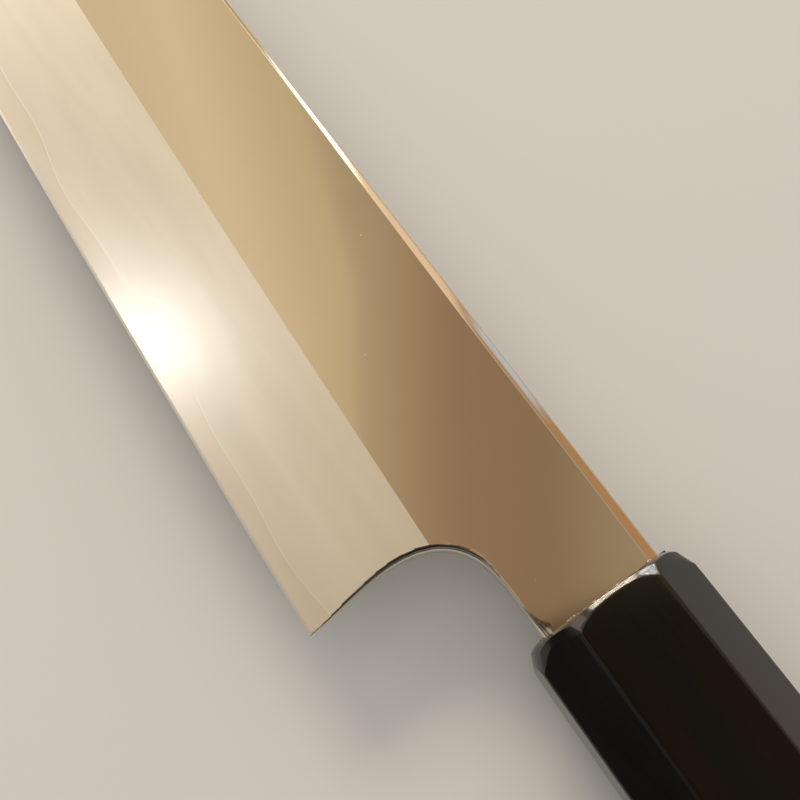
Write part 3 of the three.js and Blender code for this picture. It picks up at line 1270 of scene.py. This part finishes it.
@dataclass
class Handle:
    """The octagonal handle: horn ferrule and ebony grip."""

    datum: Datum
    form: BladeForm = field(default_factory=BladeForm)
    length: float = 145.0
    width: float = 19.0
    front_height: float = 22.2
    butt_height: float = 24.35
    axis_depth: float = BladeForm.axis_depth
    corner_leg: float = 5.5
    corner_sharpness: float = 150.0
    ferrule_length: float = 34.0
    ferrule_stations: tuple[float, ...] = (5.0, 12.0, 20.0, 28.0)
    grip_stations: tuple[float, ...] = (50.0, 70.0, 90.0, 110.0, 128.0, 138.0)
    ferrule_wall: float = 8.0
    joint_gap: float = 0.05
    joint_ease: float = 0.12
    edge_ease: float = 0.07
    ridge_reach: float = 0.3
    bore: float = 7.2
    bore_end: float = 60.2
    front: EndFace = EndFace(9.3, 0.45, 0.53, steepening=0.3, slant_slope=5.0, land_share=0.38)
    butt: EndFace = EndFace(10.0, 0.4, 0.17)
    butt_shoulder: float = 4.0
    slot_height: float = 18.4
    slot_top: float = 0.55
    slot_half: float = 2.297
    slot_end: float = 6.2
    passage: tuple[float, float] = (5.4, 1.85)
    mortise_end: float = 115.55
    mortise_wall: float = 0.95

    def height(self, x: float) -> float:
        """Height of the octagon at a distance from the ferrule's face."""
        return self.front_height + (self.butt_height - self.front_height) * x / self.length

    def facets(self, x: float) -> list[tuple[float, float]]:
        """Direction and distance from the axis of each facet, slanted ones at odd places.

        Args:
            x: distance from the ferrule's face.

        Returns:
            The eight facets, from +Y towards +Z.
        """
        y, z = self.height(x) / 2, self.width / 2
        slant = (y + z - self.corner_leg) / math.sqrt(2)
        return [(k * math.pi / 4, apothem) for k, apothem in enumerate((y, slant, z, slant) * 2)]

    def corners(self, x: float) -> list[float]:
        """Direction of the corner after each facet.

        Args:
            x: distance from the ferrule's face.

        Returns:
            Eight rising angles.
        """
        y, z = self.height(x) / 2, self.width / 2
        steep = math.atan2(z - self.corner_leg, y)
        shallow = math.atan2(z, y - self.corner_leg)
        upper = [steep, shallow, math.pi - shallow, math.pi - steep]
        return upper + [math.pi + corner for corner in upper]

    def angles(self, x: float) -> np.ndarray:
        """Directions round the axis, from +Y towards +Z, close together at the octagon's corners.

        Args:
            x: distance from the ferrule's face.

        Returns:
            Rising angles over one turn.
        """
        corners = self.corners(x)
        near = np.array([-0.07, -0.042, -0.027, -0.017, -0.008, 0.0, 0.008, 0.017, 0.027, 0.042, 0.07])
        turns = [corner + near for corner in corners]
        slot_y = (self.axis_depth + self.slot_top, self.axis_depth + self.slot_top - self.slot_height)
        slot = [math.atan2(self.slot_half, v) for v in slot_y]
        turns.append(np.array(slot + [2 * np.pi - a for a in slot]))
        for start, end in zip(corners, corners[1:] + [corners[0] + 2 * np.pi]):
            turns.append(np.linspace(start + near[-1], end - near[-1], 8)[1:-1])
        return np.sort(np.unique(np.round(np.concatenate(turns) % (2 * np.pi), 6)))

    def within(self, radii: list[np.ndarray]) -> np.ndarray:
        """Radius inside all facets at once, with eased corners.

        Args:
            radii: the radius to each facet in each direction.

        Returns:
            One radius per direction.
        """
        total = sum((self.width / 2 / radius) ** self.corner_sharpness for radius in radii)
        return self.width / 2 * total ** (-1 / self.corner_sharpness)

    def section(self, x: float) -> np.ndarray:
        """Radius of the octagon with eased corners in each direction.

        Args:
            x: distance from the ferrule's face.

        Returns:
            One radius per angle.
        """
        angles = self.angles(x)
        return self.within([a / np.maximum(np.cos(angles - turn), 1e-3) for turn, a in self.facets(x)])

    def facet_radii(self, x: float, end: EndFace, angles: np.ndarray, depth: np.ndarray) -> list[np.ndarray]:
        """Radius to each facet and its chamfer at a depth behind an end's disc.

        Args:
            x: distance from the ferrule's face, which sets the octagon.
            end: the end's form.
            angles: directions round the axis.
            depth: depth behind the disc in each direction.

        Returns:
            One array of radii per facet.
        """
        radii = []
        corners = self.corners(x)
        for place, (turn, apothem) in enumerate(self.facets(x)):
            sides = (corners[place - 1], corners[place])
            half = apothem * max(abs(math.tan(corner - turn)) for corner in sides)
            cosine = np.maximum(np.cos(angles - turn), 1e-3)
            radius = apothem / cosine
            for _ in range(SETTLING_ROUNDS):
                across = np.clip(radius * np.sin(angles - turn), -1.1 * half, 1.1 * half)
                border = end.drop(np.hypot(apothem, across))
                inwards = end.run(border, place % 2 == 1) * np.maximum(0.0, border - depth)
                radius = (apothem - inwards) / cosine
            radii.append(radius)
        return radii

    def follow_ridges(self, x: float, end: EndFace, share: float) -> np.ndarray:
        """Directions that follow the ridges between neighbouring chamfers.

        Args:
            x: distance from the ferrule's face, which sets the octagon.
            end: the end's form.
            share: place on the chamfer, 0 at its inner edge and 1 at the facets.

        Returns:
            One direction for each of the handle's own.
        """
        angles = self.angles(x)
        turned = angles.copy()
        for place, (turn, apothem) in enumerate(self.facets(x)):
            corner = self.corners(x)[place]
            sweep = corner + np.linspace(-0.25, 0.25, 201)
            depth = np.full_like(sweep, end.depth(apothem / math.cos(corner - turn), share))
            radii = self.facet_radii(x, end, sweep, depth)
            ridge = np.interp(0.0, radii[place] - radii[(place + 1) % 8], sweep)
            away = np.abs((angles - corner + np.pi) % (2 * np.pi) - np.pi)
            turned += (ridge - corner) * np.maximum(0.0, 1 - away / self.ridge_reach)
        return turned

    def box_radius(self, x: float, low: float, high: float, half: float) -> np.ndarray:
        """Radius of an upright rectangle round the axis in each direction.

        Args:
            x: distance from the ferrule's face, which sets the directions.
            low: its lower side, below the axis.
            high: its upper side, above the axis.
            half: half its width.

        Returns:
            One radius per angle.
        """
        cosine, sine = np.cos(self.angles(x)), np.sin(self.angles(x))
        up = np.where(cosine >= 0, high, low) / np.where(np.abs(cosine) < 1e-9, 1e-9, cosine)
        return np.minimum(up, half / np.maximum(np.abs(sine), 1e-9))

    def around(self, angles: np.ndarray, x: np.ndarray | float, radius: np.ndarray | float) -> np.ndarray:
        """Points round the axis.

        Args:
            angles: direction of each point.
            x: place of each point along the handle.
            radius: distance of each point from the axis.

        Returns:
            An array of [x, y, z] points.
        """
        x, radius = np.broadcast_to(x, angles.shape), np.broadcast_to(radius, angles.shape)
        return np.column_stack([x, radius * np.cos(angles) - self.axis_depth, radius * np.sin(angles)])

    def ring(self, station: float, x: np.ndarray | float, radius: np.ndarray | float) -> np.ndarray:
        """Points round the axis in the directions of a station along the handle."""
        return self.around(self.angles(station), x, radius)

    def chamfer(self, station: float, end: EndFace, face_x: float, away: float) -> list[np.ndarray]:
        """Rings from an end's disc over its land and each facet's own chamfer on to the facets.

        Args:
            station: distance from the ferrule's face.
            end: the end's form.
            face_x: place of the disc.
            away: +1 where the handle runs to +X from this end, -1 where it runs to -X.

        Returns:
            The rings, from the disc to the facets, with the chamfer's outer edge eased.
        """
        angles, outer = self.angles(station), self.section(station)
        chamfer = []
        for share in (0.0, 0.03, 0.35, 0.7, 0.95):
            turned, depth = self.follow_ridges(station, end, share), end.depth(outer, share)
            chamfer.append((turned, self.within(self.facet_radii(station, end, turned, depth)), depth))
        turned, inner, fall = chamfer[0]
        disc = np.minimum(end.crest, 0.97 * inner)
        land = [
            (angles + t * (turned - angles), disc + t * (inner - disc), t**2 * fall)
            for t in (0.0, 0.3, 0.6, 0.8, 0.94)
        ]
        drop = end.drop(outer)
        ease = [
            (angles, outer - self.edge_ease / 5, drop),
            (angles, outer, drop + self.edge_ease),
            (angles, outer, drop + 3 * self.edge_ease),
        ]
        return [self.around(a, face_x + away * depth, radius) for a, radius, depth in land + chamfer + ease]

    def slot_radius(self) -> np.ndarray:
        """Radius of the neck's slot in each direction."""
        high = self.axis_depth + self.slot_top
        return self.box_radius(0.0, high - self.slot_height, high, self.slot_half)

    def ferrule(self) -> Piece:
        """The horn ferrule, with its flat face, chamfers, slot, passage and bore.

        Returns:
            The closed ferrule.
        """
        back = self.ferrule_length
        slot = self.slot_radius()
        passage = self.box_radius(0.0, -self.passage[0], self.passage[0], self.passage[1])
        rings = [self.ring(back, back, self.bore), self.ring(0.0, self.ferrule_wall, self.bore)]
        rings += [self.ring(0.0, x, passage) for x in (self.ferrule_wall, self.slot_end)]
        rings.append(self.ring(0.0, self.slot_end, slot))
        for share in (0.0, 0.5, 0.9):
            rings.append(self.ring(0.0, 0.0, slot + share * (self.front.crest - slot)))
        rings += self.chamfer(0.0, self.front, 0.0, 1.0)
        for x in (*self.ferrule_stations, back - self.joint_ease):
            rings.append(self.ring(x, x, self.section(x)))
        rings.append(self.ring(back, back, self.section(back) - self.joint_ease))
        return self.lathe("ferrule", "buffalo_horn", rings, BUFFALO_HORN)

    def grip(self) -> Piece:
        """The ebony grip, with its bore, mortise and chamfered butt.

        Returns:
            The closed grip.
        """
        face = self.ferrule_length + self.joint_gap
        form = self.form
        rings = []
        for x in (self.mortise_end, self.bore_end):
            tang = [form.tang_half(x, sizes) for sizes in (form.tang_heights, form.tang_thicknesses)]
            up, across = (half + self.mortise_wall for half in tang)
            rings.append(self.ring(x, x, self.box_radius(x, -up, up, across)))
        rings += [self.ring(x, x, self.bore) for x in (self.bore_end, face)]
        rings.append(self.ring(face, face, self.section(face) - self.joint_ease))
        for x in (face + self.joint_ease, *self.grip_stations):
            rings.append(self.ring(x, x, self.section(x)))
        end = self.length
        shoulder = end - self.butt_shoulder
        rings += self.chamfer(shoulder, self.butt, end, -1.0)[::-1]
        middle = [np.array([x, -self.axis_depth, 0.0]) for x in (self.mortise_end, end)]
        return self.lathe("grip", "ebony", rings, EBONY, poles=middle)

    def lathe(
        self,
        name: str,
        slot: str,
        rings: list[np.ndarray],
        finish: Finish,
        poles: list[np.ndarray] | None = None,
    ) -> Piece:
        """Join rings round the axis into one closed piece.

        Args:
            name: the piece's name.
            slot: its material slot.
            rings: rings of points, in order along the surface.
            finish: its finish.
            poles: first and last middle points, or None where the last ring joins the first.

        Returns:
            The closed piece.
        """
        count = len(rings[0])
        points = np.vstack(rings)
        faces = ring_quads(len(rings), count, closed=poles is None)
        if poles is not None:
            first_pole, last_pole = len(points), len(points) + 1
            points = np.vstack([points, poles])
            end = (len(rings) - 1) * count
            for j in range(count):
                after = (j + 1) % count
                faces.append((first_pole, after, j))
                faces.append((last_pole, end + j, end + after))
        return Piece(name, slot, points, faces, [finish], sharp_degrees=30.0)

    def build(self) -> None:
        """Make the ferrule and the grip."""
        self.ferrule().build(self.datum, "horn_ferrule")
        self.grip().build(self.datum, "handle_body")


@dataclass
class NeckBead:
    """The bead of resin that closes the slot round the neck, with a few crumbs left standing on it."""

    datum: Datum
    neck_height: float = BladeForm.neck_height
    neck_half: float = 1.747
    inner_gap: float = 0.05
    outer_gap: float = 0.5
    setback: float = 0.12
    film: float = 0.03
    proud: float = 0.5
    crumb_rarity: float = 5.0
    depth: float = 2.5
    point_step: float = 0.22
    seed: int = 11

    def loop(self, gap: float) -> np.ndarray:
        """Points round the neck at a distance from it.

        Args:
            gap: distance outside the neck.

        Returns:
            An array of [y, z] points, as many for every gap.
        """
        high, low, half = gap, -self.neck_height - gap, self.neck_half + gap
        corners = np.array([[low, -half], [high, -half], [high, half], [low, half]])
        steps = [round(size / self.point_step) for size in (self.neck_height, 2 * self.neck_half)] * 2
        sides = []
        for k, count in enumerate(steps):
            t = np.linspace(0.0, 1.0, count, endpoint=False)[:, None]
            sides.append(corners[k] + t * (corners[(k + 1) % 4] - corners[k]))
        return np.vstack(sides)

    def build(self) -> None:
        """Make the bead."""
        count = len(self.loop(0.0))
        rng = np.random.default_rng(self.seed)
        lumps = rng.random((3, count))
        soft = np.array([(np.roll(row, 1) + 2 * row + np.roll(row, -1)) / 4 for row in lumps])
        front = self.setback - self.proud * soft**self.crumb_rarity
        profile = (
            (self.inner_gap, np.full(count, self.depth)),
            (self.inner_gap, front[0]),
            (0.35 * self.outer_gap, front[1] - self.film),
            (0.7 * self.outer_gap, front[2] - self.film),
            (self.outer_gap, np.full(count, self.setback + self.film)),
            (self.outer_gap, np.full(count, self.depth)),
        )
        rings = [np.column_stack([x, self.loop(gap)]) for gap, x in profile]
        faces = ring_quads(len(rings), count)
        piece = Piece("neck_bead", "neck_seal", np.vstack(rings), faces, [NECK_RESIN], sharp_degrees=60.0)
        piece.build(self.datum, "neck_seal")


@dataclass
class HiddenJoinery:
    """The dowel and the tang's bedding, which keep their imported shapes."""

    finishes: dict[str, Finish] = field(
        default_factory=lambda: {"ferrule_dowel": DOWEL_WOOD, "tang_bedding": ADHESIVE}
    )

    def dress(self) -> None:
        """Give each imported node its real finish."""
        for node, finish in self.finishes.items():
            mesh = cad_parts[node].data
            mesh.materials.clear()
            mesh.materials.append(finish.material())
            log.info("%s: packed shape, %s", node, finish.name)


@dataclass(frozen=True)
class Lamp:
    """A flat soft lamp, placed by the direction that it shines from.

    Its aim is in knife millimetres, its angles in degrees and its sizes in metres. A lamp that is kept to the
    pieces named in lit is sampled from the lamp alone, because rays that meet it by chance don't count.
    """

    name: str
    aim: tuple[float, float, float]
    azimuth: float
    elevation: float
    far: float
    width: float
    height: float
    radiance: float
    colour: str
    lit: tuple[str, ...] = ()

    def hang(self, datum: Datum) -> None:
        """Hang the lamp, facing its aim.

        Args:
            datum: the knife's own axes, in which the aim is given.
        """
        light = bpy.data.lights.new(self.name, "AREA")
        light.shape = "RECTANGLE"
        light.size = self.width
        light.size_y = self.height
        light.energy = math.pi * self.width * self.height * self.radiance
        light.color = linear(self.colour)[:3]
        around, above = math.radians(self.azimuth), math.radians(self.elevation)
        level = math.cos(above)
        towards = Vector((level * math.cos(around), level * math.sin(around), math.sin(above)))
        made = bpy.data.objects.new(self.name, light)
        made.location = Vector(datum.place(np.array(self.aim))) + towards * self.far
        made.rotation_mode = "QUATERNION"
        made.rotation_quaternion = towards.to_track_quat("Z", "Y")
        made.visible_camera = False
        if self.lit:
            lit = bpy.data.collections.new(f"lit_by_{self.name}")
            for name in self.lit:
                lit.objects.link(bpy.data.objects[name])
            made.light_linking.receiver_collection = lit
            light.cycles.use_multiple_importance_sampling = False
        bpy.context.scene.collection.objects.link(made)


# The grip would mirror the tip's card as a white glare. Black horn mirrors little, so the rim windows light
# the ferrule alone, where steel and floor under them would clip to white.
ALL_BUT_GRIP = ("left_skin", "core_layer", "right_skin", "ferrule", "neck_bead", "floor")
LAMPS = (
    Lamp("window", (1.0, -4.0, 9.0), 140.0, 22.5, 0.9, 0.28, 0.2, 1.8, "#fbf8f2"),
    Lamp("window_side", (1.0, -4.0, 9.0), 126.5, 12.0, 0.9, 0.12, 0.25, 1.8, "#fbf8f2"),
    Lamp("rim_window", (1.0, -4.0, 9.0), 140.0, 22.5, 0.9, 0.28, 0.2, 9.2, "#fbf8f2", ("ferrule",)),
    Lamp("rim_window_side", (1.0, -4.0, 9.0), 126.5, 12.0, 0.9, 0.12, 0.25, 9.2, "#fbf8f2", ("ferrule",)),
    Lamp("window_wall", (-75.0, 0.0, 1.0), 131.0, 41.0, 0.9, 0.66, 0.36, 0.35, "#ffe6c4"),
    Lamp("curtain", (-45.0, 0.0, 1.0), 115.0, 18.0, 0.9, 0.2, 0.4, 0.57, "#f8e6cc"),
    Lamp("tip_card", (0.0, -9.0, 9.0), 166.0, 27.0, 2.7, 1.2, 0.6, 15.0, "#fff0d8", ALL_BUT_GRIP),
    Lamp("heel_card", (1.0, -14.0, 9.0), 203.0, 30.0, 0.9, 0.38, 0.2, 1.8, "#f4dccb"),
    Lamp("sky_chink", (-24.0, 0.0, 1.0), 104.5, 9.0, 0.9, 0.11, 0.27, 0.63, "#81d5ff"),
    Lamp("bevel_spot", (-60.0, -32.0, 1.0), 200.0, 61.0, 0.8, 0.05, 0.05, 13.0, "#f6f9ff"),
)


@dataclass(frozen=True)
class Room:
    """What polished steel mirrors: a warm room, pale on the tip's side and brown overhead and behind.

    Two planes through the knife part the pale side from the brown side. Places run from -1, deep in the
    pale side, to 1, deep in the brown side. The room darkens towards the end that the edge faces, apart from
    a lighter band of heights, and overhead towards the butt. A plain grey wall stands past the butt and over
    the brown side.
    """

    parting_planes: tuple[tuple[float, float, float], ...] = ((0.534, 0.839, 0.1085), (0.288, 0.791, 0.008))
    edge_end: tuple[float, float, float] = (0.35, -0.75, -0.56)
    edge_fade: tuple[float, float] = (-0.58, 0.16)
    edge_levels: tuple[float, float] = (0.08, 0.35)
    edge_band: tuple[float, float, float, float] = (0.14, 0.24, 0.5, 0.62)
    butt_end: tuple[float, float, float] = (0.53, 0.0, 0.848)
    butt_fade: tuple[float, float] = (0.832, 0.843)
    butt_level: float = 0.25
    wall_tone: str = "#a8a49d"
    wall_aside: tuple[float, float] = (0.05, 0.25)
    wall_deep: tuple[float, float] = (0.45, 0.55)
    wall_foot: tuple[float, float] = (0.38, 0.46)
    wall_top: tuple[float, float] = (0.72, 0.84)
    strength: float = 1.2
    tones: tuple[tuple[float, str], ...] = (
        (-1.0, "#e8d9c6"),
        (-0.4, "#f5e8d8"),
        (-0.178, "#dfcba8"),
        (-0.131, "#d8c29c"),
        (-0.085, "#e1caa7"),
        (-0.05, "#d6be98"),
        (-0.02, "#ccb58c"),
        (-0.009, "#cfb890"),
        (0.011, "#b6a080"),
        (0.07, "#a58868"),
        (0.106, "#987b5e"),
        (0.194, "#92775a"),
        (0.274, "#a18d6f"),
        (0.34, "#ad997a"),
        (0.42, "#c5aa85"),
        (0.53, "#bb9871"),
        (0.66, "#b48d63"),
        (0.85, "#b88b5d"),
        (1.0, "#b88a5c"),
    )

    def background(self, tree: bpy.types.NodeTree) -> bpy.types.NodeSocket:
        """Add the room to the world.

        Args:
            tree: the world's node tree.

        Returns:
            The room's background shader.
        """
        direction = add_node(tree, "ShaderNodeTexCoord").outputs["Generated"]
        dots = [
            add_node(tree, "ShaderNodeVectorMath", {0: direction, 1: plane}, operation="DOT_PRODUCT")
            for plane in (*self.parting_planes, self.edge_end, self.butt_end)
        ]
        sides = [dot.outputs["Value"] for dot in dots]
        parted = add_node(tree, "ShaderNodeMath", {0: sides[0], 1: sides[1]}, operation="MAXIMUM").outputs[0]
        along = add_node(tree, "ShaderNodeMapRange", {"Value": parted, 1: -1.0, 2: 1.0})
        stops = [((spot + 1) / 2, linear(tone)) for spot, tone in self.tones]
        tone = add_node(tree, "ShaderNodeValToRGB", {"Fac": along.outputs["Result"]}, stops=stops)
        axes = add_node(tree, "ShaderNodeSeparateXYZ", {0: direction}).outputs
        dark, light = self.edge_levels
        grades = (
            (axes["Z"], *self.edge_band[:2], dark, light),
            (axes["Z"], *self.edge_band[2:], light, dark),
            (axes["X"], *self.wall_aside, 0.0, 1.0),
            (parted, *self.wall_deep, 0.0, 1.0),
            (axes["Z"], *self.wall_foot, 0.0, 1.0),
            (axes["Z"], *self.wall_top, 1.0, 0.0),
        )
        rise, fall, aside, deep, foot, top = (
            add_node(tree, "ShaderNodeMapRange", dict(enumerate(grade))).outputs["Result"] for grade in grades
        )
        band = add_node(tree, "ShaderNodeMath", {0: rise, 1: fall}, operation="MINIMUM")
        above = add_node(tree, "ShaderNodeMath", {0: deep, 1: foot}, operation="MINIMUM")
        behind = add_node(tree, "ShaderNodeMath", {0: aside, 1: above.outputs[0]}, operation="MAXIMUM")
        walled = add_node(tree, "ShaderNodeMath", {0: behind.outputs[0], 1: top}, operation="MULTIPLY")
        colour = add_node(
            tree,
            "ShaderNodeMix",
            {"Factor": walled.outputs[0], "A": tone.outputs["Color"], "B": linear(self.wall_tone)},
            data_type="RGBA",
        )
        level: bpy.types.NodeSocket | float = self.strength
        fades = ((*self.edge_fade, 1.0, band.outputs[0]), (*self.butt_fade, 1.0, self.butt_level))
        for side, fade in zip(sides[2:], fades):
            left = add_node(tree, "ShaderNodeMapRange", dict(enumerate((side, *fade)))).outputs["Result"]
            level = add_node(tree, "ShaderNodeMath", {0: left, 1: level}, operation="MULTIPLY").outputs[0]
        room = add_node(tree, "ShaderNodeBackground", {"Color": colour.outputs["Result"], "Strength": level})
        return room.outputs[0]


@dataclass
class Studio:
    """Pale floor, soft lamps, what the polished steel mirrors, and the camera."""

    datum: Datum
    room: Room = field(default_factory=Room)
    floor_half: float = 1.5
    focal_px: float = 967.04
    image_px: float = 800.0
    camera_at: tuple[float, float, float] = (-0.63, -30.92, 119.14)
    view_axis: tuple[float, float, float] = (-0.2706, 0.1338, -0.9534)
    image_right: tuple[float, float, float] = (0.5676, 0.8220, -0.0457)
    backdrop: str = "#f3f1ee"
    fill_strength: float = 0.62

    def floor(self) -> None:
        """Lay the pale floor under the handle's right facet."""
        size = self.floor_half
        mesh = bpy.data.meshes.new("floor")
        corners = [(-size, -size, 0.0), (size, -size, 0.0), (size, size, 0.0), (-size, size, 0.0)]
        mesh.from_pydata(corners, [], [(0, 1, 2, 3)])
        mesh.materials.append(FLOOR_PAINT.material())
        made = bpy.data.objects.new("floor", mesh)
        bpy.context.scene.collection.objects.link(made)

    def world(self) -> None:
        """Fill the shadows evenly, and give polished steel the room to mirror."""
        made = bpy.data.worlds.new("studio")
        made.use_nodes = True
        made.cycles.sampling_method = "NONE"
        tree = made.node_tree
        tree.nodes.clear()
        rays = add_node(tree, "ShaderNodeLightPath")
        strength = add_node(
            tree,
            "ShaderNodeMapRange",
            {"Value": rays.outputs["Is Camera Ray"], 3: self.fill_strength, 4: 1.0},
        )
        plain = add_node(
            tree,
            "ShaderNodeBackground",
            {"Color": linear(self.backdrop), "Strength": strength.outputs["Result"]},
        )
        mixed = add_node(
            tree,
            "ShaderNodeMixShader",
            {0: rays.outputs["Is Glossy Ray"], 1: plain.outputs[0], 2: self.room.background(tree)},
        )
        add_node(tree, "ShaderNodeOutputWorld", {"Surface": mixed.outputs[0]})
        bpy.context.scene.world = made

    def camera(self) -> None:
        """Put the camera where the photograph was taken from."""
        data = bpy.data.cameras.new("camera")
        data.sensor_width = 36.0
        data.lens = self.focal_px / self.image_px * data.sensor_width
        data.clip_start = 0.002
        data.clip_end = 50.0
        back = -Vector(self.view_axis).normalized()
        right = Vector(self.image_right)
        right = (right - back * right.dot(back)).normalized()
        up = back.cross(right)
        made = bpy.data.objects.new("camera", data)
        turn = Matrix((right, up, back)).transposed().to_4x4()
        made.matrix_world = Matrix.Translation(Vector(self.datum.place(np.array(self.camera_at)))) @ turn
        bpy.context.scene.collection.objects.link(made)
        bpy.context.scene.camera = made

    def build(self) -> None:
        """Set the stage."""
        bpy.context.scene.view_settings.view_transform = "Standard"
        self.floor()
        for lamp in LAMPS:
            lamp.hang(self.datum)
        self.world()
        self.camera()


def main() -> None:
    """Build the knife piece by piece, then the stage."""
    logging.basicConfig(level=logging.INFO, format="%(name)s: %(message)s")
    datum = Datum.from_frame()
    Blade(datum).build()
    Handle(datum).build()
    NeckBead(datum).build()
    HiddenJoinery().dress()
    Studio(datum).build()


if __name__ == "__main__":
    main()
